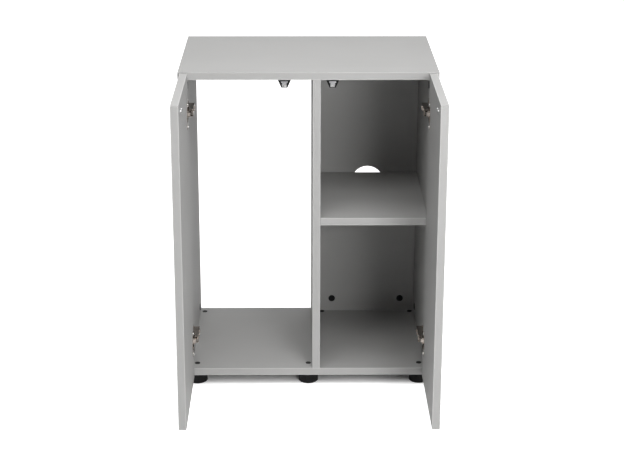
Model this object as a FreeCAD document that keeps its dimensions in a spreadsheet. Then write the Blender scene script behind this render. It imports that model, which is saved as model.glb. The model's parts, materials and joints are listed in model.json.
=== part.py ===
import FreeCAD, Part
import os
import re
import Sketcher

# Aquarium stand cabinet: 18 mm laminated boards on six levelling feet, two handleless doors.
# X runs to the right, Y to the back and Z up.  The origin is on the floor, under the middle of
# the cabinet with both doors open at a right angle, which is how the parts are laid out here.

doc = FreeCAD.newDocument("AquariumStand")
sheet = doc.addObject("Spreadsheet::Sheet", "Dims")

DIMENSIONS = {
    # how far the tools of a cut run past the surface that they open
    "overrun": 1,
    # carcass
    "width": 600,
    "depth": 400,
    "board": 18,
    "carcass_height": 753,
    "foot_height": 27,
    "divider_left": 10,
    "shelf_underside": 384,
    "shelf_depth": 376,
    "shelf_play": 0.5,
    "back_gap": 1,
    "cable_hole_radius": 40,
    "cable_hole_x": 155,
    "cable_hole_rise": 377,
    # cam fittings, dowels and shelf pins
    "cam_radius": 7.5,
    "cam_depth": 13.2,
    "cam_cap_radius": 8.5,
    "cam_cap_thick": 1.4,
    "cam_from_end": 26,
    "cam_inset": 60,
    "bolt_radius": 3.5,
    "bolt_thread_radius": 2.5,
    "bolt_thread": 11,
    "dowel_radius": 4,
    "dowel_inset": 110,
    "dowel_half": 12,
    "back_cam_inset": 37,
    "back_cam_from_end": 34,
    "back_dowel_inset": 75,
    "pin_inset": 50,
    "pin_radius": 2.5,
    "pin_depth": 9,
    "pin_reach": 9,
    # levelling feet
    "pad_radius": 24,
    "pad_height": 22,
    "pad_wall": 4,
    "pad_floor": 5,
    "pad_bevel": 2,
    "stem_radius": 5,
    "stem_play": 0.05,
    "stem_above": 6,
    "socket_radius": 17,
    "socket_height": 20,
    "key_radius": 3,
    "key_depth": 8,
    "access_radius": 5.5,
    "access_cap_radius": 6.5,
    "access_cap_thick": 0.8,
    "access_plug": 6,
    "foot_side": 271,
    "foot_front": 32,
    "foot_back": 374,
    "foot_middle_back": 39,
    # doors
    "door_width": 298,
    "door_height": 752,
    "door_drop": 1,
    "door_board": 18,
    "door_edge": 299,
    "open_face": 277,
    "open_gap": 5,
    # concealed hinges, measured on the left side of the cabinet
    "hinge_from_end": 95,
    "cup_radius": 17.5,
    "cup_wall": 1,
    "cup_depth": 12,
    "cup_edge": 4.5,
    "flange_thick": 1,
    "flange_radius": 19.5,
    "ear_offset": 5.5,
    "ear_half": 26,
    "ear_radius": 6.5,
    "outer_arm_x": 9.4,
    "outer_arm_y": 0.5,
    "inner_arm_x": 14,
    "cup_pin_inset": 10,
    "cup_pin_depth": 4,
    "cup_pin_start": 4.4,
    "cup_pin_length": 7.2,
    "hinge_pin_radius": 1,
    "hinge_pin_play": 0.05,
    "knuckle": 2,
    "link_thick": 2,
    "outer_knee_x": -1.5,
    "outer_knee_y": -14.5,
    "inner_knee_x": -4,
    "inner_knee_y": -13,
    "inner_tip_x": -12.4,
    "inner_tip_y": -16.7,
    "inner_link_half": 4,
    "outer_link_low": 5,
    "outer_link_high": 7,
    "cheek_low": 7.2,
    "cheek_high": 8.4,
    "cheek_base": 2.7,
    "arm_height": 16.5,
    "arm_start": 4,
    "arm_end": 60,
    "arm_skin": 1.2,
    "nose_margin": 2.4,
    "nose_corner": 1.2,
    "nose_land": 1,
    "nose_end": 0.9,
    "plate_height": 6,
    "plate_start": 22,
    "plate_end": 58,
    "plate_half": 6.8,
    "wing_height": 2.4,
    "wing_half": 24,
    "wing_radius": 6,
    "plate_screw_y": 37,
    "plate_screw_z": 16,
    "arm_screw_y": 49,
    "adjuster_y": 28,
    # screws
    "screw_head_radius": 3.4,
    "screw_head": 1.8,
    "screw_radius": 1.6,
    "screw_length": 10,
    "recess_half": 2.1,
    "recess_wide": 0.8,
    "recess_depth": 1.1,
    # push latches and their strike plates
    "latch_x": 55.5,
    "latch_front": 8,
    "latch_length": 60,
    "latch_height": 20,
    "latch_top_half": 16,
    "latch_bottom_half": 7.2,
    "latch_ear_half": 23,
    "latch_ear_start": 28,
    "latch_ear_length": 14,
    "latch_ear_thick": 3,
    "latch_screw_x": 18.8,
    "slot_depth": 45,
    "slot_play": 0.2,
    "plunger_low": 18.2,
    "plunger_neck": 9.8,
    "plunger_top": 4.8,
    "plunger_half": 5.1,
    "plunger_collar_half": 7.6,
    "plunger_set_back": 6.6,
    "plunger_length": 40,
    "magnet_thick": 3,
    "magnet_height": 5,
    "strike_half": 15,
    "strike_half_height": 7,
    "strike_below_top": 8,
    "strike_thick": 1,
    "strike_screw": 10,
}

# Positions that follow from the sizes above.
DERIVED = {
    "front": "(open_gap + door_width - depth) / 2",
    "back": "front + depth",
    "floor_low": "foot_height",
    "floor_top": "foot_height + board",
    "ceiling": "foot_height + carcass_height - board",
    "cabinet_top": "foot_height + carcass_height",
    "side_inner": "width / 2 - board",
    "divider_right": "divider_left + board",
    "back_face": "back - board",
    "shelf_low": "foot_height + shelf_underside",
    "door_low": "foot_height - door_drop",
    "door_top": "door_low + door_height",
    "door_back_edge": "front - open_gap",
    "door_free_edge": "front - open_gap - door_width",
    "cup_y": "door_back_edge - cup_edge - cup_radius",
    "hinge_low": "foot_height + hinge_from_end",
    "hinge_high": "cabinet_top - hinge_from_end",
    "outer_x": "outer_arm_x - side_inner",
    "outer_y": "front + outer_arm_y",
    "inner_x": "inner_arm_x - side_inner",
    "inner_y": "front",
    "cup_pin_x": "-open_face - cup_pin_depth",
    "cup_pin_y": "door_back_edge - cup_pin_inset",
    "strike_y": "door_free_edge + door_width - door_edge + latch_x",
    "strike_z": "ceiling - strike_below_top",
}

for row, (alias, value) in enumerate(DIMENSIONS.items(), start=1):
    sheet.set(f"A{row}", alias.replace("_", " "))
    sheet.set(f"B{row}", str(value))
    sheet.setAlias(f"B{row}", alias)
doc.recompute()

nodes = {}


def formula(text):
    """Point every dimension's name in an expression at its cell."""

    def cell(match):
        word = match.group()
        if word in DERIVED:
            return f"({formula(DERIVED[word])})"
        return f"Dims.{word}" if word in DIMENSIONS else word

    return re.sub(r"[a-z][a-z0-9_]*", cell, str(text))


def bind(item, **sizes):
    for prop, expression in sizes.items():
        item.setExpression(prop, formula(expression))


def move(item, x, y, z):
    for axis, expression in zip("xyz", (x, y, z)):
        item.setExpression(f"Placement.Base.{axis}", formula(expression))


def keep(item, label):
    item.Label = label
    nodes[label] = item
    return item


def box(x, y, z):
    """A box from its low and high limits on each axis."""
    item = doc.addObject("Part::Box", "Block")
    limits = dict(zip(("Length", "Width", "Height"), (x, y, z)))
    bind(item, **{prop: f"({high}) - ({low})" for prop, (low, high) in limits.items()})
    move(item, x[0], y[0], z[0])
    return item


TURNS = {
    "+x": FreeCAD.Rotation(FreeCAD.Vector(0, 1, 0), 90),
    "-x": FreeCAD.Rotation(FreeCAD.Vector(0, 1, 0), -90),
    "+y": FreeCAD.Rotation(FreeCAD.Vector(1, 0, 0), -90),
    "-y": FreeCAD.Rotation(FreeCAD.Vector(1, 0, 0), 90),
    "+z": FreeCAD.Rotation(),
    "-z": FreeCAD.Rotation(FreeCAD.Vector(1, 0, 0), 180),
}


def rod(way, x, y, z, radius, length):
    """A round bar that starts at a point and runs one way along an axis."""
    item = doc.addObject("Part::Cylinder", "Rod")
    item.Placement.Rotation = TURNS[way]
    bind(item, Radius=radius, Height=length)
    move(item, x, y, z)
    return item


def fuse(items):
    item = doc.addObject("Part::MultiFuse", "Joined")
    item.Shapes = items
    return item


def cut(base, tools):
    item = doc.addObject("Part::Cut", "Trimmed")
    item.Base = base
    item.Tool = tools[0] if len(tools) == 1 else fuse(tools)
    return item


def group(items):
    item = doc.addObject("Part::Compound", "Group")
    item.Links = items
    return item


def reflected(source):
    """The same shape on the other side of the cabinet."""
    item = doc.addObject("Part::Mirroring", "Mirrored")
    item.Source = source
    item.Normal = FreeCAD.Vector(1, 0, 0)
    return item


def mirror(source, label):
    return keep(reflected(source), label)


def outline(points, turn, length):
    """A straight-sided profile, its corners bound to the sheet, drawn out along its normal."""
    sketch = doc.addObject("Sketcher::SketchObject", "Profile")
    sketch.Placement.Rotation = turn
    count = len(points)
    corners = [FreeCAD.Vector(k, k * k, 0) for k in range(count)]
    for k in range(count):
        sketch.addGeometry(Part.LineSegment(corners[k], corners[(k + 1) % count]), False)
    for k in range(count):
        sketch.addConstraint(Sketcher.Constraint("Coincident", k, 2, (k + 1) % count, 1))
    for k, (first, second) in enumerate(points):
        for kind, expression in (("DistanceX", first), ("DistanceY", second)):
            number = sketch.addConstraint(Sketcher.Constraint(kind, k, 1, 1.0))
            sketch.setExpression(f"Constraints[{number}]", formula(expression))
    item = doc.addObject("Part::Extrusion", "Drawn")
    item.Base = sketch
    item.DirMode = "Normal"
    item.Solid = True
    bind(item, LengthFwd=length)
    return sketch, item


def screw(way, x, y, z):
    """A pan-head screw with a cross recess: its head lies past the point, its shank before it."""
    head = doc.addObject("Part::Cylinder", "Head")
    bind(head, Radius="screw_head_radius", Height="screw_head")
    shank = doc.addObject("Part::Cylinder", "Shank")
    bind(shank, Radius="screw_radius", Height="screw_length")
    shank.setExpression("Placement.Base.z", formula("-screw_length"))
    recess = []
    for long_x, long_y in (("recess_half", "recess_wide / 2"), ("recess_wide / 2", "recess_half")):
        recess.append(
            box(
                (f"-({long_x})", long_x),
                (f"-({long_y})", long_y),
                ("screw_head - recess_depth", "screw_head + overrun"),
            )
        )
    item = cut(fuse([head, shank]), recess)
    item.Placement.Rotation = TURNS[way]
    move(item, x, y, z)
    return item


def shank_hole(way, x, y, z):
    """The hole for a screw, running into the board opposite to the screw's head."""
    return rod(way, x, y, z, "screw_radius", "screw_length")


# Where the fittings lie -------------------------------------------------------------------

CAM_ROWS = ("front + cam_inset", "back - cam_inset")
DOWEL_ROWS = ("front + dowel_inset", "back - dowel_inset")
ENDS = (("floor_top", 1), ("ceiling", -1))
# each upright: the face that its cams open on and the way into the board from that face
UPRIGHTS = {
    "left_side_panel": ("-side_inner", -1, "-width / 2 + board / 2"),
    "centre_divider": ("divider_right", -1, "divider_left + board / 2"),
    "right_side_panel": ("side_inner", 1, "width / 2 - board / 2"),
}
BACK_CAMS = ("divider_right + back_cam_inset", "side_inner - back_cam_inset")
BACK_DOWELS = ("divider_right + back_dowel_inset", "side_inner - back_dowel_inset")
BACK_MIDDLE = "back_face + board / 2"
FEET = {
    "front_left_foot": ("-foot_side", "front + foot_front"),
    "front_middle_foot": ("0", "front + foot_front"),
    "front_right_foot": ("foot_side", "front + foot_front"),
    "back_left_foot": ("-foot_side", "front + foot_back"),
    "back_middle_foot": ("foot_middle_back", "front + foot_back"),
    "back_right_foot": ("foot_side", "front + foot_back"),
}
HINGES = {"lower": "hinge_low", "upper": "hinge_high"}
SHELF_PINS = [
    (face, way, row)
    for face, way in (("divider_right", "-x"), ("side_inner", "+x"))
    for row in ("front + pin_inset", "front + shelf_depth - pin_inset")
]


def way_in(axis, sign):
    return ("+" if sign > 0 else "-") + axis


def cam_places():
    """Every cam: its way into the board, its face point, and the bolt that it grips."""
    for face, sign, middle in UPRIGHTS.values():
        for row in CAM_ROWS:
            for end, up in ENDS:
                cam = (face, row, f"{end} + {up} * cam_from_end")
                yield way_in("x", sign), cam, (middle, row, end, up, "cam_from_end")
    for column in BACK_CAMS:
        for end, up in ENDS:
            cam = (column, "back_face", f"{end} + {up} * back_cam_from_end")
            yield "+y", cam, (column, BACK_MIDDLE, end, up, "back_cam_from_end")


def bolt_shaft(bolt_place):
    """The shaft's room from a board's end face to the middle of its cam."""
    x, y, end, up, reach = bolt_place
    return rod(way_in("z", up), x, y, end, "bolt_radius", f"{reach} + bolt_radius")


def dowel_places():
    for face, sign, middle in UPRIGHTS.values():
        for row in DOWEL_ROWS:
            for end, up in ENDS:
                yield middle, row, end
    for column in BACK_DOWELS:
        for end, up in ENDS:
            yield column, BACK_MIDDLE, end


def dowel(place):
    x, y, end = place
    return rod("+z", x, y, f"{end} - dowel_half", "dowel_radius", "2 * dowel_half")


CAMS = list(cam_places())
DOWELS = list(dowel_places())


# Boards -----------------------------------------------------------------------------------


def cams_in(middle):
    return [place for place in CAMS if place[2][0] == middle]


def end_fittings(end):
    """Bores in the top or the bottom board, for the bolts' threads and the dowels."""
    tools = []
    for _, _, (x, y, at_end, up, _) in CAMS:
        if at_end == end:
            tools.append(rod(way_in("z", -up), x, y, end, "bolt_thread_radius", "bolt_thread"))
    for place in DOWELS:
        if place[2] == end:
            tools.append(dowel(place))
    return tools


def cam_bores(places):
    tools = []
    for way, (x, y, z), bolt_place in places:
        tools.append(rod(way, x, y, z, "cam_radius", "cam_depth"))
        tools.append(bolt_shaft(bolt_place))
    return tools


def make_top_panel():
    board = box(("-width / 2", "width / 2"), ("front", "back"), ("ceiling", "cabinet_top"))
    tools = end_fittings("ceiling")
    for side in (-1, 1):
        for offset in (-1, 1):
            x = f"{side} * latch_x + {offset} * latch_screw_x"
            y = "front + latch_front + latch_ear_start + latch_ear_length / 2"
            tools.append(shank_hole("+z", x, y, "ceiling"))
    keep(cut(board, tools), "top_panel")


def make_bottom_panel():
    board = box(("-width / 2", "width / 2"), ("front", "back"), ("floor_low", "floor_top"))
    tools = end_fittings("floor_top")
    for x, y in FEET.values():
        tools.append(rod("+z", x, y, "floor_low - overrun", "access_radius", "board + 2 * overrun"))
    keep(cut(board, tools), "bottom_panel")


def make_uprights():
    for label, (face, sign, middle) in UPRIGHTS.items():
        half = "board / 2"
        board = box(
            (f"{middle} - {half}", f"{middle} + {half}"),
            ("front", "back"),
            ("floor_top", "ceiling"),
        )
        tools = cam_bores(cams_in(middle)) + [dowel(place) for place in DOWELS if place[0] == middle]
        if "side" in label:
            for height in HINGES.values():
                for up in (-1, 1):
                    y = "front + plate_screw_y"
                    tools.append(shank_hole(way_in("x", sign), face, y, f"{height} + {up} * plate_screw_z"))
        for pin_face, way, row in SHELF_PINS:
            if pin_face == face:
                z = "shelf_low - pin_radius"
                tools.append(rod(way, face, row, z, "pin_radius", "pin_depth"))
        keep(cut(board, tools), label)


def make_back_panel():
    board = box(
        ("divider_right", "side_inner - back_gap"),
        ("back_face", "back"),
        ("floor_top", "ceiling"),
    )
    places = [place for place in CAMS if place[0] == "+y"]
    tools = cam_bores(places) + [dowel(place) for place in DOWELS if place[0] in BACK_DOWELS]
    tools.append(
        rod(
            "+y",
            "cable_hole_x",
            "back_face - overrun",
            "foot_height + cable_hole_rise",
            "cable_hole_radius",
            "board + 2 * overrun",
        )
    )
    keep(cut(board, tools), "back_panel")


def make_shelf():
    shelf = box(
        ("divider_right + shelf_play", "side_inner - shelf_play"),
        ("front", "front + shelf_depth"),
        ("shelf_low", "shelf_low + board"),
    )
    keep(shelf, "shelf")


# Fittings that hold the boards ------------------------------------------------------------


def make_cam_fittings():
    housings = []
    caps = []
    bolts = []
    for way, (x, y, z), bolt_place in CAMS:
        body = rod(way, x, y, z, "cam_radius", "cam_depth")
        housings.append(cut(body, [bolt_shaft(bolt_place)]))
        outward = ("-" if way[0] == "+" else "+") + way[1]
        caps.append(rod(outward, x, y, z, "cam_cap_radius", "cam_cap_thick"))
        bolt_x, bolt_y, end, up, _ = bolt_place
        stem = bolt_shaft(bolt_place)
        thread = rod(way_in("z", -up), bolt_x, bolt_y, end, "bolt_thread_radius", "bolt_thread")
        bolts.append(fuse([stem, thread]))
    keep(group(housings), "cam_housings")
    keep(group(caps), "cam_caps")
    keep(group(bolts), "cam_bolts")
    keep(group([dowel(place) for place in DOWELS]), "dowels")


def make_shelf_pins():
    pins = []
    for face, way, row in SHELF_PINS:
        outward = ("-" if way[0] == "+" else "+") + way[1]
        z = "shelf_low - pin_radius"
        bar = rod(outward, face, row, z, "pin_radius", "pin_reach")
        bar_in = rod(way, face, row, z, "pin_radius", "pin_depth")
        pins.append(fuse([bar, bar_in]))
    keep(group(pins), "shelf_pins")


# Levelling feet ---------------------------------------------------------------------------


def make_feet():
    sockets = []
    caps = []
    for label, (x, y) in FEET.items():
        collar = rod("-z", x, y, "floor_low", "socket_radius", "socket_height")
        bore = rod(
            "-z", x, y, "floor_low + overrun", "stem_radius + stem_play", "socket_height + 2 * overrun"
        )
        sockets.append(cut(collar, [bore]))

        sole = doc.addObject("Part::Cone", "Sole")
        bind(sole, Radius1="pad_radius - pad_bevel", Radius2="pad_radius", Height="pad_bevel")
        move(sole, x, y, "0")
        drum = rod("+z", x, y, "pad_bevel", "pad_radius", "pad_height - pad_bevel")
        hollow = rod("+z", x, y, "pad_floor", "pad_radius - pad_wall", "pad_height")
        cup = cut(fuse([sole, drum]), [hollow])
        stem = rod("+z", x, y, "0", "stem_radius", "foot_height + stem_above")
        key = doc.addObject("Part::Prism", "Key")
        key.Polygon = 6
        bind(key, Circumradius="key_radius", Height="key_depth + overrun")
        move(key, x, y, "foot_height + stem_above - key_depth")
        keep(cut(fuse([cup, stem]), [key]), label)

        lid = rod("+z", x, y, "floor_top", "access_cap_radius", "access_cap_thick")
        plug = rod("-z", x, y, "floor_top", "access_radius", "access_plug")
        caps.append(fuse([lid, plug]))
    keep(group(sockets), "foot_sockets")
    keep(group(caps), "access_caps")


# Concealed hinges -------------------------------------------------------------------------


def limb(start, end, low, high):
    """A flat bar between two points of the plan, standing from one height to another."""
    run_x = f"(({end[0]}) - ({start[0]}))"
    run_y = f"(({end[1]}) - ({start[1]}))"
    length = f"sqrt({run_x} ^ 2 + {run_y} ^ 2)"
    item = doc.addObject("Part::Box", "Limb")
    bind(item, Length=length, Width="link_thick", Height=f"({high}) - ({low})")
    item.Placement.Rotation = FreeCAD.Rotation(FreeCAD.Vector(0, 0, 1), 90)
    item.setExpression("Placement.Rotation.Angle", formula(f"atan2({run_y}; {run_x})"))
    move(
        item,
        f"{start[0]} + link_thick / 2 * {run_y} / {length}",
        f"{start[1]} - link_thick / 2 * {run_x} / {length}",
        low,
    )
    return item


def link(points, low, high, bored):
    """A cranked link plate: flat bars from point to point, round at every point."""
    height = f"({high}) - ({low})"
    parts = [limb(points[k], points[k + 1], low, high) for k in range(len(points) - 1)]
    for k, (x, y) in enumerate(points):
        radius = "knuckle" if k in bored else "link_thick / 2"
        parts.append(rod("+z", x, y, low, radius, height))
    holes = []
    for k in bored:
        x, y = points[k]
        hole_radius = "hinge_pin_radius + hinge_pin_play"
        holes.append(rod("+z", x, y, f"{low} - overrun", hole_radius, f"{height} + 2 * overrun"))
    return cut(fuse(parts), holes)


OUTER_ARM = ("outer_x", "outer_y")
OUTER_KNEE = ("outer_x + outer_knee_x", "outer_y + outer_knee_y - outer_arm_y")
CUP_PIN = ("cup_pin_x", "cup_pin_y")
INNER_ARM = ("inner_x", "inner_y")
INNER_KNEE = ("inner_x + inner_knee_x", "inner_y + inner_knee_y")
INNER_TIP = ("inner_x + inner_tip_x", "inner_y + inner_tip_y")


def make_links(name, z):
    """Two outer plates and one wide inner plate between them."""
    outer = []
    for low, high in (("outer_link_low", "outer_link_high"), ("-outer_link_high", "-outer_link_low")):
        points = (OUTER_ARM, OUTER_KNEE, CUP_PIN)
        outer.append(link(points, f"{z} + {low}", f"{z} + {high}", (0, 2)))
    left_outer = keep(group(outer), f"left_{name}_outer_link")
    mirror(left_outer, f"right_{name}_outer_link")
    points = (INNER_ARM, INNER_KNEE, INNER_TIP)
    inner = link(points, f"{z} - inner_link_half", f"{z} + inner_link_half", (0,))
    left_inner = keep(inner, f"left_{name}_inner_link")
    mirror(left_inner, f"right_{name}_inner_link")


def make_arm(name, z):
    """A pressed channel: two cheeks that carry the link pins, joined by a crest."""
    corners = (
        ("cheek_base", "arm_end"),
        ("cheek_base", "plate_start"),
        ("outer_arm_x - nose_margin", "arm_start"),
        ("outer_arm_x - nose_margin", "nose_corner - nose_margin"),
        ("outer_arm_x - nose_margin + nose_corner", "-nose_margin"),
        ("inner_arm_x + nose_land", "-nose_margin"),
        ("arm_height", "-nose_end"),
        ("arm_height", "arm_end"),
    )
    points = [(f"({u}) - side_inner", f"front + ({v})") for u, v in corners]
    cheeks = []
    for low in ("cheek_low", "-cheek_high"):
        sketch, cheek = outline(points, FreeCAD.Rotation(), "cheek_high - cheek_low")
        sketch.setExpression("Placement.Base.z", formula(f"{z} + {low}"))
        cheeks.append(cheek)
    crest = box(
        ("arm_height - arm_skin - side_inner", "arm_height - side_inner"),
        ("front + arm_start", "front + arm_end"),
        (f"{z} - cheek_high", f"{z} + cheek_high"),
    )
    holes = []
    for x, y in (OUTER_ARM, INNER_ARM):
        low = f"{z} - cheek_high - overrun"
        holes.append(rod("+z", x, y, low, "hinge_pin_radius", "2 * (cheek_high + overrun)"))
    for y in ("arm_screw_y", "adjuster_y"):
        holes.append(rod("-x", "arm_height - side_inner", f"front + {y}", z, "screw_radius", "arm_skin"))
    left = keep(cut(fuse(cheeks + [crest]), holes), f"left_{name}_hinge_arm")
    mirror(left, f"right_{name}_hinge_arm")


def make_plate(name, z):
    """The mounting plate: a raised block with a screwed wing above and below."""
    block = box(
        ("-side_inner", "plate_height - side_inner"),
        ("front + plate_start", "front + plate_end"),
        (f"{z} - plate_half", f"{z} + plate_half"),
    )
    wing = box(
        ("-side_inner", "wing_height - side_inner"),
        ("front + plate_screw_y - wing_radius", "front + plate_screw_y + wing_radius"),
        (f"{z} - wing_half + wing_radius", f"{z} + wing_half - wing_radius"),
    )
    parts = [block, wing]
    holes = []
    for up in (-1, 1):
        tip = f"{z} + {up} * (wing_half - wing_radius)"
        parts.append(rod("+x", "-side_inner", "front + plate_screw_y", tip, "wing_radius", "wing_height"))
        at_screw = f"{z} + {up} * plate_screw_z"
        holes.append(
            rod("+x", "-side_inner", "front + plate_screw_y", at_screw, "screw_radius", "wing_height")
        )
    for y in ("arm_screw_y", "adjuster_y"):
        x = "arm_height - screw_length - side_inner"
        holes.append(rod("+x", x, f"front + {y}", z, "screw_radius", "screw_length"))
    left = keep(cut(fuse(parts), holes), f"left_{name}_hinge_plate")
    mirror(left, f"right_{name}_hinge_plate")


def cup_pin(z, up):
    """A stub pin in the cup's wall, above or below the inner link."""
    start = f"{z} + {up} * cup_pin_start"
    return rod(way_in("z", up), *CUP_PIN, start, "hinge_pin_radius", "cup_pin_length")


def make_cup(name, z):
    """The cup that is let into the door, with its flange and the stub pins of the outer link."""
    well = rod("-x", "-open_face", "cup_y", z, "cup_radius", "cup_depth")
    ring = rod("+x", "-open_face", "cup_y", z, "flange_radius", "flange_thick")
    ear_y = "cup_y - ear_offset"
    ear = box(
        ("-open_face", "-open_face + flange_thick"),
        (f"{ear_y} - ear_radius", f"{ear_y} + ear_radius"),
        (f"{z} - ear_half", f"{z} + ear_half"),
    )
    parts = [well, ring, ear]
    holes = [
        rod(
            "-x",
            "-open_face + flange_thick + overrun",
            "cup_y",
            z,
            "cup_radius - cup_wall",
            "flange_thick + overrun + cup_depth - cup_wall",
        )
    ]
    for up in (-1, 1):
        at_screw = f"{z} + {up} * ear_half"
        parts.append(rod("+x", "-open_face", ear_y, at_screw, "ear_radius", "flange_thick"))
        holes.append(rod("+x", "-open_face", ear_y, at_screw, "screw_radius", "flange_thick"))
        holes.append(cup_pin(z, up))
    left = keep(cut(fuse(parts), holes), f"left_{name}_hinge_cup")
    mirror(left, f"right_{name}_hinge_cup")


def make_hinge_pins():
    arm_pins = []
    cup_pins = []
    for z in HINGES.values():
        for x, y in (OUTER_ARM, INNER_ARM):
            arm_pins.append(rod("+z", x, y, f"{z} - cheek_high", "hinge_pin_radius", "2 * cheek_high"))
        for up in (-1, 1):
            cup_pins.append(cup_pin(z, up))
    left_arm_pins = group(arm_pins)
    keep(group([left_arm_pins, reflected(left_arm_pins)]), "hinge_arm_pins")
    mirror(keep(group(cup_pins), "left_cup_pins"), "right_cup_pins")


def make_hinge_screws():
    plate_screws = []
    cup_screws = []
    for z in HINGES.values():
        for up in (-1, 1):
            at_screw = f"{z} + {up} * plate_screw_z"
            plate_screws.append(screw("+x", "wing_height - side_inner", "front + plate_screw_y", at_screw))
            at_ear = f"{z} + {up} * ear_half"
            cup_screws.append(screw("+x", "flange_thick - open_face", "cup_y - ear_offset", at_ear))
        for y in ("arm_screw_y", "adjuster_y"):
            plate_screws.append(screw("+x", "arm_height - side_inner", f"front + {y}", z))
    left_screws = group(plate_screws)
    keep(group([left_screws, reflected(left_screws)]), "hinge_plate_screws")
    mirror(keep(group(cup_screws), "left_cup_screws"), "right_cup_screws")


# Doors ------------------------------------------------------------------------------------


def make_doors():
    board = box(
        ("-open_face - door_board", "-open_face"),
        ("door_free_edge", "door_back_edge"),
        ("door_low", "door_top"),
    )
    tools = []
    for z in HINGES.values():
        tools.append(rod("-x", "-open_face", "cup_y", z, "cup_radius", "cup_depth"))
        for up in (-1, 1):
            at_ear = f"{z} + {up} * ear_half"
            tools.append(shank_hole("-x", "-open_face", "cup_y - ear_offset", at_ear))
    for along in (-1, 1):
        y = f"strike_y + {along} * strike_screw"
        tools.append(shank_hole("-x", "-open_face", y, "strike_z"))
    mirror(keep(cut(board, tools), "left_door_panel"), "right_door_panel")


def make_strikes():
    plate = box(
        ("-open_face", "-open_face + strike_thick"),
        ("strike_y - strike_half + strike_half_height", "strike_y + strike_half - strike_half_height"),
        ("strike_z - strike_half_height", "strike_z + strike_half_height"),
    )
    parts = [plate]
    holes = []
    screws = []
    for along in (-1, 1):
        end = f"strike_y + {along} * (strike_half - strike_half_height)"
        parts.append(rod("+x", "-open_face", end, "strike_z", "strike_half_height", "strike_thick"))
        y = f"strike_y + {along} * strike_screw"
        holes.append(rod("+x", "-open_face", y, "strike_z", "screw_radius", "strike_thick"))
        screws.append(screw("+x", "strike_thick - open_face", y, "strike_z"))
    mirror(keep(cut(fuse(parts), holes), "left_strike_plate"), "right_strike_plate")
    mirror(keep(group(screws), "left_strike_screws"), "right_strike_screws")


# Push latches -----------------------------------------------------------------------------


def slot_profile(play):
    """The stepped section of the plunger, wider by a running gap for the slot it slides in."""
    low = f"ceiling - plunger_low - {play}"
    neck = f"ceiling - plunger_low + plunger_neck - {play}"
    top = f"ceiling - plunger_top + {play}"
    half = f"plunger_half + {play}"
    collar = f"plunger_collar_half + {play}"
    left = [("-1", collar, top), ("-1", collar, neck), ("-1", half, neck), ("-1", half, low)]
    right = [("1", size, z) for _, size, z in reversed(left)]
    return [(f"{side} * ({size}) - latch_x", z) for side, size, z in left + right]


def bar_along_y(points, start, length):
    """A profile in X and Z, drawn out towards the back."""
    flat = [(x, z) for x, z in points]
    sketch, item = outline(flat, FreeCAD.Rotation(FreeCAD.Vector(1, 0, 0), 90), length)
    sketch.setExpression("Placement.Base.y", formula(f"{start} + {length}"))
    return item


def magnet_block(tip):
    """The magnet that is let into the lower half of the plunger's front."""
    return box(
        ("-plunger_half - latch_x", "plunger_half - latch_x"),
        (tip, f"{tip} + magnet_thick"),
        ("ceiling - plunger_low", "ceiling - plunger_low + magnet_height"),
    )


def make_latches():
    start = "front + latch_front"
    wedge = bar_along_y(
        (
            ("-latch_top_half - latch_x", "ceiling"),
            ("-latch_bottom_half - latch_x", "ceiling - latch_height"),
            ("latch_bottom_half - latch_x", "ceiling - latch_height"),
            ("latch_top_half - latch_x", "ceiling"),
        ),
        start,
        "latch_length",
    )
    ears = box(
        ("-latch_ear_half - latch_x", "latch_ear_half - latch_x"),
        (f"{start} + latch_ear_start", f"{start} + latch_ear_start + latch_ear_length"),
        ("ceiling - latch_ear_thick", "ceiling"),
    )
    holes = [bar_along_y(slot_profile("slot_play"), f"{start} - overrun", "slot_depth + overrun")]
    screws = []
    for side in (-1, 1):
        x = f"{side} * latch_screw_x - latch_x"
        y = f"{start} + latch_ear_start + latch_ear_length / 2"
        holes.append(rod("+z", x, y, "ceiling - latch_ear_thick", "screw_radius", "latch_ear_thick"))
        screws.append(screw("-z", x, y, "ceiling - latch_ear_thick"))
    mirror(keep(cut(fuse([wedge, ears]), holes), "left_latch_housing"), "right_latch_housing")
    left_screws = group(screws)
    keep(group([left_screws, reflected(left_screws)]), "latch_screws")

    tip = "front + plunger_set_back"
    bar = bar_along_y(slot_profile("0"), tip, "plunger_length")
    mirror(keep(cut(bar, [magnet_block(tip)]), "left_latch_plunger"), "right_latch_plunger")
    mirror(keep(magnet_block(tip), "left_latch_magnet"), "right_latch_magnet")


# Build, check and write -------------------------------------------------------------------

make_top_panel()
make_bottom_panel()
make_uprights()
make_back_panel()
make_shelf()
make_cam_fittings()
make_shelf_pins()
make_feet()
for hinge_name, hinge_height in HINGES.items():
    make_links(hinge_name, hinge_height)
    make_arm(hinge_name, hinge_height)
    make_plate(hinge_name, hinge_height)
    make_cup(hinge_name, hinge_height)
make_hinge_pins()
make_hinge_screws()
make_doors()
make_strikes()
make_latches()
doc.recompute()

failed = [item.Name for item in doc.Objects if "Invalid" in item.State or "Error" in item.State]
if failed:
    raise SystemExit(f"features that did not compute: {failed}")
for label, item in nodes.items():
    if item.Shape.isNull() or not item.Shape.isValid():
        raise SystemExit(f"{label} has no valid shape")

os.makedirs("parts", exist_ok=True)
for label, item in nodes.items():
    item.Shape.exportStep(f"parts/{label}.step")
    print(f"{label}: {len(item.Shape.Solids)} solids, {item.Shape.Volume / 1000:.2f} cm3")
print(len(nodes), "nodes")
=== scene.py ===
import json
import math

import bmesh
import bpy
from mathutils import Matrix, Vector


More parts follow.
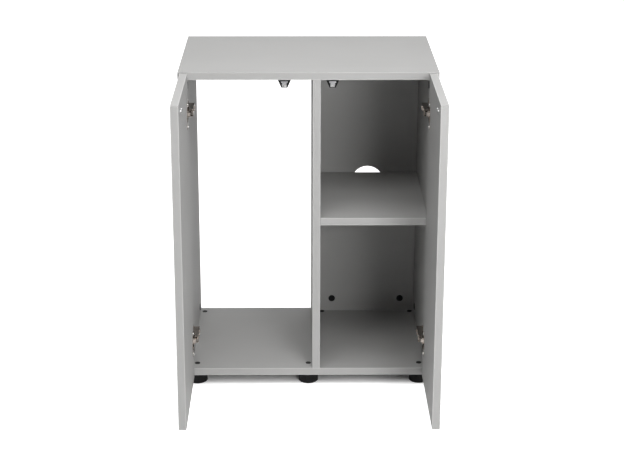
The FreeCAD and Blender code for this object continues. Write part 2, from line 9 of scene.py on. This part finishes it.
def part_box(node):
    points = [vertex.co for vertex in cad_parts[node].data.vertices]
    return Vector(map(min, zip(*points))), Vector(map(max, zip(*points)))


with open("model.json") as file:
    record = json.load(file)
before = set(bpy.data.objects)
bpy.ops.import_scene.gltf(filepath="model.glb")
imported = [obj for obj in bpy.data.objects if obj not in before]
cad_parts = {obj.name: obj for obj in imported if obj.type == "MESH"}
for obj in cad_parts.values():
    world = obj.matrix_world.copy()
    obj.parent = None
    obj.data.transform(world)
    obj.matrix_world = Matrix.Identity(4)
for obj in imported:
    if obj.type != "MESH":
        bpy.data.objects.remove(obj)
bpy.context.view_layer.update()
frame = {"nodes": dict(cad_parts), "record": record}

MM = 0.001
WHITE = (1.0, 1.0, 1.0, 1.0)

carcass_low, carcass_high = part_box("top_panel")
front = carcass_low.y
floor_panel_low, floor_panel_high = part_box("bottom_panel")


# Shader building --------------------------------------------------------------------------


class Shader:
    """A material's node tree, with short calls for the nodes that repeat."""

    def __init__(self, name, colour, roughness, metallic=0.0, specular=0.5):
        self.material = bpy.data.materials.new(name)
        self.material.use_nodes = True
        self.tree = self.material.node_tree
        self.surface = self.tree.nodes["Principled BSDF"]
        self.surface.inputs["Base Color"].default_value = (*colour, 1.0)
        self.surface.inputs["Roughness"].default_value = roughness
        self.surface.inputs["Metallic"].default_value = metallic
        self.surface.inputs["Specular IOR Level"].default_value = specular
        self.place = self.node("ShaderNodeTexCoord").outputs["Object"]

    def node(self, kind, **settings):
        made = self.tree.nodes.new(kind)
        for key, value in settings.items():
            setattr(made, key, value)
        return made

    def join(self, source, socket):
        self.tree.links.new(source, socket)

    def feed(self, socket, value):
        if isinstance(value, bpy.types.NodeSocket):
            self.join(value, socket)
        else:
            socket.default_value = value

    def maths(self, operation, first, second=0.0):
        made = self.node("ShaderNodeMath", operation=operation)
        self.feed(made.inputs[0], first)
        self.feed(made.inputs[1], second)
        return made.outputs[0]

    def split(self, vector):
        made = self.node("ShaderNodeSeparateXYZ")
        self.join(vector, made.inputs[0])
        return made.outputs

    def noise(self, scale, detail=3.0, roughness=0.5, stretch=(1, 1, 1)):
        mapping = self.node("ShaderNodeMapping")
        mapping.inputs["Scale"].default_value = stretch
        self.join(self.place, mapping.inputs["Vector"])
        made = self.node("ShaderNodeTexNoise")
        made.inputs["Scale"].default_value = scale
        made.inputs["Detail"].default_value = detail
        made.inputs["Roughness"].default_value = roughness
        self.join(mapping.outputs[0], made.inputs["Vector"])
        return made.outputs["Fac"]

    def spread(self, value, low, high, to_low, to_high):
        """Carry a value from one range to another, held at the ends."""
        made = self.node("ShaderNodeMapRange")
        self.join(value, made.inputs["Value"])
        limits = {"From Min": low, "From Max": high, "To Min": to_low, "To Max": to_high}
        for key, number in limits.items():
            made.inputs[key].default_value = number
        return made.outputs[0]

    def mix(self, amount, first, second):
        """Blend two colours, each given as a socket or as three numbers."""
        made = self.node("ShaderNodeMix", data_type="RGBA")
        self.feed(made.inputs["Factor"], amount)
        colour_sockets = [socket for socket in made.inputs if socket.type == "RGBA"]
        for socket, value in zip(colour_sockets, (first, second)):
            if isinstance(value, bpy.types.NodeSocket):
                self.join(value, socket)
            else:
                socket.default_value = (*value, 1.0)
        return next(socket for socket in made.outputs if socket.type == "RGBA")

    def colour(self, value):
        self.join(value, self.surface.inputs["Base Color"])

    def roughness(self, value):
        self.join(value, self.surface.inputs["Roughness"])

    def bump(self, height, strength, distance, under=None):
        made = self.node("ShaderNodeBump")
        made.inputs["Strength"].default_value = strength
        made.inputs["Distance"].default_value = distance
        self.join(height, made.inputs["Height"])
        if under is not None:
            self.join(under, made.inputs["Normal"])
        self.join(made.outputs[0], self.surface.inputs["Normal"])
        return made.outputs[0]


def tint(colour, amount):
    return tuple(channel * amount for channel in colour)


# Laminate boards --------------------------------------------------------------------------

GREY = (0.412, 0.410, 0.404)
BAND_WIDTH = 1.0 * MM
BAND_LINE = 0.12 * MM
BAND_LINE_DEPTH = 0.1 * MM
BAND_LINE_DARK = 0.55
CORNER_HIGHLIGHT_SPAN = (1.2 * MM, 2.4 * MM)
PEARL_SCALE = 2600
PEARL_DEPTH = 0.05 * MM
CLOUD_SCALE = 6
BORE_WALL = (0.3 * MM, 0.5 * MM)
CHIP_SCALE = 420
CHIP_DARK = (0.30, 0.20, 0.11)
CHIP_PALE = (0.56, 0.42, 0.27)


def rim_distance(shader, low, high, axes):
    """How far a point lies inside the outline of a board's wide face."""
    parts = shader.split(shader.place)
    nearest = None
    for axis in axes:
        for sign, limit in ((1, low[axis]), (-1, high[axis])):
            gap = shader.maths("MULTIPLY", shader.maths("SUBTRACT", parts[axis], limit), sign)
            nearest = gap if nearest is None else shader.maths("MINIMUM", nearest, gap)
    return nearest


def laminate(name, node):
    """Matt melamine on particle board: a fine pearl texture, and a banded edge with its joint.

    The edge band is a touch paler, and has a painted highlight along its two long corners, where
    light would catch.
    """
    low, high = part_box(node)
    size = high - low
    thin = min(range(3), key=lambda axis: size[axis])
    wide = [axis for axis in range(3) if axis != thin]
    shader = Shader(name, GREY, 0.5, specular=0.35)
    rim = rim_distance(shader, low, high, wide)
    band = shader.spread(rim, BAND_WIDTH - BAND_LINE, BAND_WIDTH, 1.0, 0.0)
    line_in = shader.spread(rim, BAND_WIDTH - BAND_LINE, BAND_WIDTH, 0.0, 1.0)
    line_out = shader.spread(rim, BAND_WIDTH, BAND_WIDTH + BAND_LINE, 1.0, 0.0)
    line = shader.maths("MULTIPLY", line_in, line_out)

    pearl = shader.noise(PEARL_SCALE, 2.0, 0.6)
    cloud = shader.noise(CLOUD_SCALE, 3.0, 0.5)
    clouded = shader.spread(cloud, 0.35, 0.65, 0.0, 1.0)
    face = shader.mix(clouded, tint(GREY, 0.985), tint(GREY, 1.015))
    speck = shader.mix(shader.spread(pearl, 0.4, 0.6, 0.0, 0.12), face, tint(GREY, 0.9))
    parts = shader.split(shader.place)
    above = shader.maths("SUBTRACT", parts[thin], low[thin])
    below = shader.maths("SUBTRACT", high[thin], parts[thin])
    to_corner = shader.maths("MINIMUM", above, below)
    # painted highlight: the band's colour is made paler within the span next to each long corner
    corner_highlight = shader.spread(to_corner, *CORNER_HIGHLIGHT_SPAN, 1.0, 0.0)
    edge = shader.mix(corner_highlight, tint(GREY, 1.04), tint(GREY, 1.24))
    banded = shader.mix(band, speck, edge)
    dark = shader.maths("MULTIPLY", line, BAND_LINE_DARK)
    lined = shader.mix(dark, banded, tint(GREY, 0.45))
    shader.roughness(shader.spread(pearl, 0.3, 0.7, 0.46, 0.56))
    grain = shader.bump(pearl, 0.25, PEARL_DEPTH)
    groove = shader.maths("SUBTRACT", 1.0, line)
    shader.bump(groove, 0.6, BAND_LINE_DEPTH, under=grain)
    return shader, lined


def particle_board(shader, finished, axis_x, axis_z, radius):
    """Bare chips on the wall of a bored hole."""
    parts = shader.split(shader.place)
    run_x = shader.maths("SUBTRACT", parts[0], axis_x)
    run_z = shader.maths("SUBTRACT", parts[2], axis_z)
    square_x = shader.maths("POWER", run_x, 2.0)
    square_z = shader.maths("POWER", run_z, 2.0)
    reach = shader.maths("SQRT", shader.maths("ADD", square_x, square_z))
    inner, outer = (radius + margin for margin in BORE_WALL)
    wall = shader.spread(reach, inner, outer, 1.0, 0.0)
    chips = shader.node("ShaderNodeTexVoronoi")
    chips.inputs["Scale"].default_value = CHIP_SCALE
    chips.inputs["Randomness"].default_value = 1.0
    shader.join(shader.place, chips.inputs["Vector"])
    shade = shader.split(chips.outputs["Color"])[0]
    wood = shader.mix(shade, CHIP_DARK, CHIP_PALE)
    return shader.mix(wall, finished, wood)


# Metals, plastics and wood ----------------------------------------------------------------

BRUSH_SCALE = 900
BRUSH_DEPTH = 0.04 * MM
SMEAR_SCALE = 70
MOULD_SCALE = 1500
MOULD_DEPTH = 0.05 * MM
WEAR_SCALE = 45
FOOT_RIBS = 48
RIB_DEPTH = 0.6 * MM
WOOD_SCALE = 300
WOOD_STRETCH = (1, 1, 0.08)
WOOD_DEPTH = 0.1 * MM
BEECH_DARK = (0.50, 0.32, 0.17)
BEECH_PALE = (0.70, 0.50, 0.30)


def metal(name, colour, roughness):
    """Plated or cast metal, with a fine grain and faint smears."""
    shader = Shader(name, colour, roughness, metallic=1.0)
    brushed = shader.noise(BRUSH_SCALE, 4.0, 0.6)
    smear = shader.noise(SMEAR_SCALE, 3.0, 0.5)
    shader.roughness(shader.spread(smear, 0.3, 0.7, roughness * 0.75, roughness * 1.35))
    smeared = shader.spread(smear, 0.3, 0.7, 0.0, 1.0)
    shader.colour(shader.mix(smeared, tint(colour, 0.9), tint(colour, 1.06)))
    shader.bump(brushed, 0.12, BRUSH_DEPTH)
    return shader.material


def plastic(name, colour, roughness, ribs=None):
    """Moulded plastic, with ribs round an upright axis where the piece is ribbed."""
    shader = Shader(name, colour, roughness, specular=0.25)
    grain = shader.noise(MOULD_SCALE, 2.0, 0.5)
    wear = shader.noise(WEAR_SCALE, 4.0, 0.6)
    worn = shader.spread(wear, 0.4, 0.7, 0.0, 1.0)
    shader.colour(shader.mix(worn, colour, tint(colour, 1.5)))
    shader.roughness(shader.spread(wear, 0.3, 0.7, roughness * 0.85, roughness * 1.2))
    fine = shader.bump(grain, 0.3, MOULD_DEPTH)
    if ribs is not None:
        middle, count = ribs
        parts = shader.split(shader.place)
        run_x = shader.maths("SUBTRACT", parts[0], middle.x)
        run_y = shader.maths("SUBTRACT", parts[1], middle.y)
        turn = shader.maths("ARCTAN2", run_y, run_x)
        wave = shader.maths("SINE", shader.maths("MULTIPLY", turn, count))
        shader.bump(wave, 0.8, RIB_DEPTH, under=fine)
    return shader.material


def beech(name):
    shader = Shader(name, (0.62, 0.42, 0.24), 0.6)
    grain = shader.noise(WOOD_SCALE, 4.0, 0.6, WOOD_STRETCH)
    grained = shader.spread(grain, 0.35, 0.65, 0.0, 1.0)
    shader.colour(shader.mix(grained, BEECH_DARK, BEECH_PALE))
    shader.bump(grain, 0.3, WOOD_DEPTH)
    return shader.material


NICKEL = metal("nickel_steel", (0.46, 0.41, 0.37), 0.15)
BRIGHT = metal("bright_zinc_steel", (0.80, 0.80, 0.79), 0.22)
SATIN = metal("satin_zinc", (0.42, 0.42, 0.43), 0.42)
CAST_ZINC = metal("cast_zinc", (0.50, 0.50, 0.51), 0.45)
BLACK_TONE = (0.0045, 0.0045, 0.005)
BLACK_ROUGHNESS = 0.38
BLACK = plastic("black_plastic", BLACK_TONE, BLACK_ROUGHNESS)
BEECH = beech("beech_dowel")


# Finishing the CAD nodes ------------------------------------------------------------------

BOARD_RADIUS = 0.7 * MM
MOULDED_RADIUS = 0.5 * MM
PLATE_RADIUS = 0.25 * MM
STEEL_RADIUS = 0.2 * MM
SHARP_ANGLE = math.radians(40)


def paint(thing, material):
    """Put one material in every slot of an object."""
    if not thing.material_slots:
        thing.data.materials.append(material)
    for number in range(len(thing.material_slots)):
        thing.material_slots[number].material = material


def soften(thing, width, segments=2):
    """Round an object's sharp edges by a small radius."""
    bevel = thing.modifiers.new("edge_radius", "BEVEL")
    bevel.width = width
    bevel.segments = segments
    bevel.limit_method = "ANGLE"
    bevel.angle_limit = SHARP_ANGLE
    bevel.use_clamp_overlap = True
    bevel.harden_normals = True


BOARDS = (
    "top_panel",
    "bottom_panel",
    "left_side_panel",
    "right_side_panel",
    "centre_divider",
    "back_panel",
    "shelf",
    "left_door_panel",
    "right_door_panel",
)
BLACK_PARTS = ("cam_caps", "foot_sockets", "access_caps")


def finish_boards():
    mounts = {mount["name"]: mount for mount in frame["record"]["mounts"]}
    port = mounts["cable_port"]
    port_x, _, port_z = port["pos_m"]
    for node in BOARDS:
        shader, colour = laminate(f"laminate_{node}", node)
        if node == "back_panel":
            radius = port["dims"]["r_mm"] * MM
            colour = particle_board(shader, colour, port_x, port_z, radius)
        shader.colour(colour)
        board = bpy.data.objects[node]
        paint(board, shader.material)
        soften(board, BOARD_RADIUS, 3)


def ribbed_plastic(node):
    """Black plastic with ribs round the middle of a foot."""
    low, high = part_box(node)
    ribs = ((low + high) / 2, FOOT_RIBS)
    return plastic(f"ribbed_{node}", BLACK_TONE, BLACK_ROUGHNESS, ribs)


def finish_fittings():
    for node in frame["nodes"]:
        if node in BOARDS:
            continue
        fitting = bpy.data.objects[node]
        if node == "dowels":
            paint(fitting, BEECH)
        elif node.endswith("_foot"):
            paint(fitting, ribbed_plastic(node))
            soften(fitting, MOULDED_RADIUS, 3)
        elif node.endswith("latch_housing") or node in BLACK_PARTS:
            paint(fitting, BLACK)
            soften(fitting, MOULDED_RADIUS, 3)
        elif node == "cam_housings":
            paint(fitting, CAST_ZINC)
        elif node.endswith(("latch_plunger", "strike_plate")):
            paint(fitting, SATIN)
            soften(fitting, PLATE_RADIUS)
        elif node.endswith(("latch_magnet", "strike_screws", "cup_screws")):
            paint(fitting, BRIGHT)
            soften(fitting, PLATE_RADIUS)
        else:
            paint(fitting, NICKEL)
            soften(fitting, STEEL_RADIUS)


finish_boards()
finish_fittings()


# Studio -----------------------------------------------------------------------------------

LENS_MM = 92.33
CAMERA_PLACE = Vector((-0.0293, front - 3.5785, floor_panel_low.z + 1.5870))
CAMERA_PITCH = 18.747
CAMERA_YAW = 0.604
CAMERA_ROLL = 0.091
CLIP_END = 100.0

LIGHTS = {
    # name: (place, aim, width, height, watts)
    "overhead": ((0.0, 0.0, 3.2), (0.0, 0.0, 0.0), 2.4, 2.4, 54.0),
    "over_front": ((0.0, -0.95, 1.75), (0.0, -0.6, 0.4), 1.4, 0.5, 9.0),
    "over_front_right": ((0.9, -1.1, 1.9), (0.7, -0.9, 0.0), 0.8, 0.8, 6.0),
    "front_fill": ((0.0, -4.6, 2.6), (0.0, 0.0, 0.4), 2.0, 1.2, 3.0),
    "key_right": ((0.82, -2.4, 1.1), (0.0, 0.1, 0.5), 0.6, 0.6, 27.0),
    "key_left": ((-1.7, -2.6, 2.4), (0.0, 0.1, 0.4), 0.8, 0.8, 7.0),
    "backdrop": ((0.0, 3.5, 3.0), (0.0, 2.0, 0.0), 4.0, 1.5, 52.0),
}
FLOOR_SPAN = 30.0
FLOOR_COLOUR = (0.93, 0.93, 0.93)
FLOOR_GLOW = 1.0  # as the camera sees it
FLOOR_SPILL = 0.04  # cast on other things
# Painted shadow: between these two distances from the carcass's outline the floor's glow fades to
# nothing.
SHADE_START = -45 * MM  # inside the carcass's outline
SHADE_END = 25 * MM  # outside it
WORLD_STRENGTH = 0.02


def make_camera():
    data = bpy.data.cameras.new("camera")
    data.lens = LENS_MM
    data.clip_end = CLIP_END
    camera = bpy.data.objects.new("camera", data)
    bpy.context.scene.collection.objects.link(camera)
    camera.location = CAMERA_PLACE
    yaw = Matrix.Rotation(math.radians(-CAMERA_YAW), 4, "Z")
    pitch = Matrix.Rotation(math.radians(90 - CAMERA_PITCH), 4, "X")
    roll = Matrix.Rotation(math.radians(CAMERA_ROLL), 4, "Z")
    camera.rotation_euler = (yaw @ pitch @ roll).to_euler()
    bpy.context.scene.camera = camera


def make_light(name, place, aim, width, height, watts):
    data = bpy.data.lights.new(name, "AREA")
    data.shape = "RECTANGLE"
    data.size = width
    data.size_y = height
    data.energy = watts
    lamp = bpy.data.objects.new(name, data)
    bpy.context.scene.collection.objects.link(lamp)
    lamp.location = place
    direction = Vector(aim) - Vector(place)
    lamp.rotation_euler = direction.to_track_quat("-Z", "Y").to_euler()


def make_floor():
    """A pale floor that reads white; its glow fades out under and close to the carcass's outline,
    a painted shadow added to the real one there.
    """
    mesh = bpy.data.meshes.new("studio_floor")
    form = bmesh.new()
    bmesh.ops.create_grid(form, x_segments=1, y_segments=1, size=FLOOR_SPAN / 2)
    form.to_mesh(mesh)
    form.free()
    ground = bpy.data.objects.new("studio_floor", mesh)
    bpy.context.scene.collection.objects.link(ground)
    shader = Shader("studio_floor", FLOOR_COLOUR, 0.9, specular=0.1)
    carcass_middle = (carcass_low + carcass_high) / 2
    half = (carcass_high - carcass_low) / 2
    parts = shader.split(shader.place)
    beyond = []
    for axis in (0, 1):
        run = shader.maths("SUBTRACT", parts[axis], carcass_middle[axis])
        beyond.append(shader.maths("SUBTRACT", shader.maths("ABSOLUTE", run), half[axis]))
    outside = shader.maths("MAXIMUM", *beyond)
    # painted shadow: the glow is 0 under the carcass and full outside it
    glow_outside_painted_shadow = shader.spread(outside, SHADE_START, SHADE_END, 0.0, 1.0)
    glow_outside_painted_shadow.node.interpolation_type = "SMOOTHSTEP"
    seen = shader.node("ShaderNodeLightPath").outputs["Is Camera Ray"]
    strength = shader.spread(seen, 0.0, 1.0, FLOOR_SPILL, FLOOR_GLOW)
    glow = shader.maths("MULTIPLY", glow_outside_painted_shadow, strength)
    shader.surface.inputs["Emission Color"].default_value = WHITE
    shader.join(glow, shader.surface.inputs["Emission Strength"])
    paint(ground, shader.material)


def make_world():
    world = bpy.data.worlds.new("studio")
    world.use_nodes = True
    sky = world.node_tree.nodes["Background"]
    sky.inputs["Strength"].default_value = WORLD_STRENGTH
    sky.inputs["Color"].default_value = WHITE
    bpy.context.scene.world = world


make_camera()
for light_name, light_facts in LIGHTS.items():
    make_light(light_name, *light_facts)
make_floor()
make_world()
bpy.context.scene.view_settings.view_transform = "Standard"
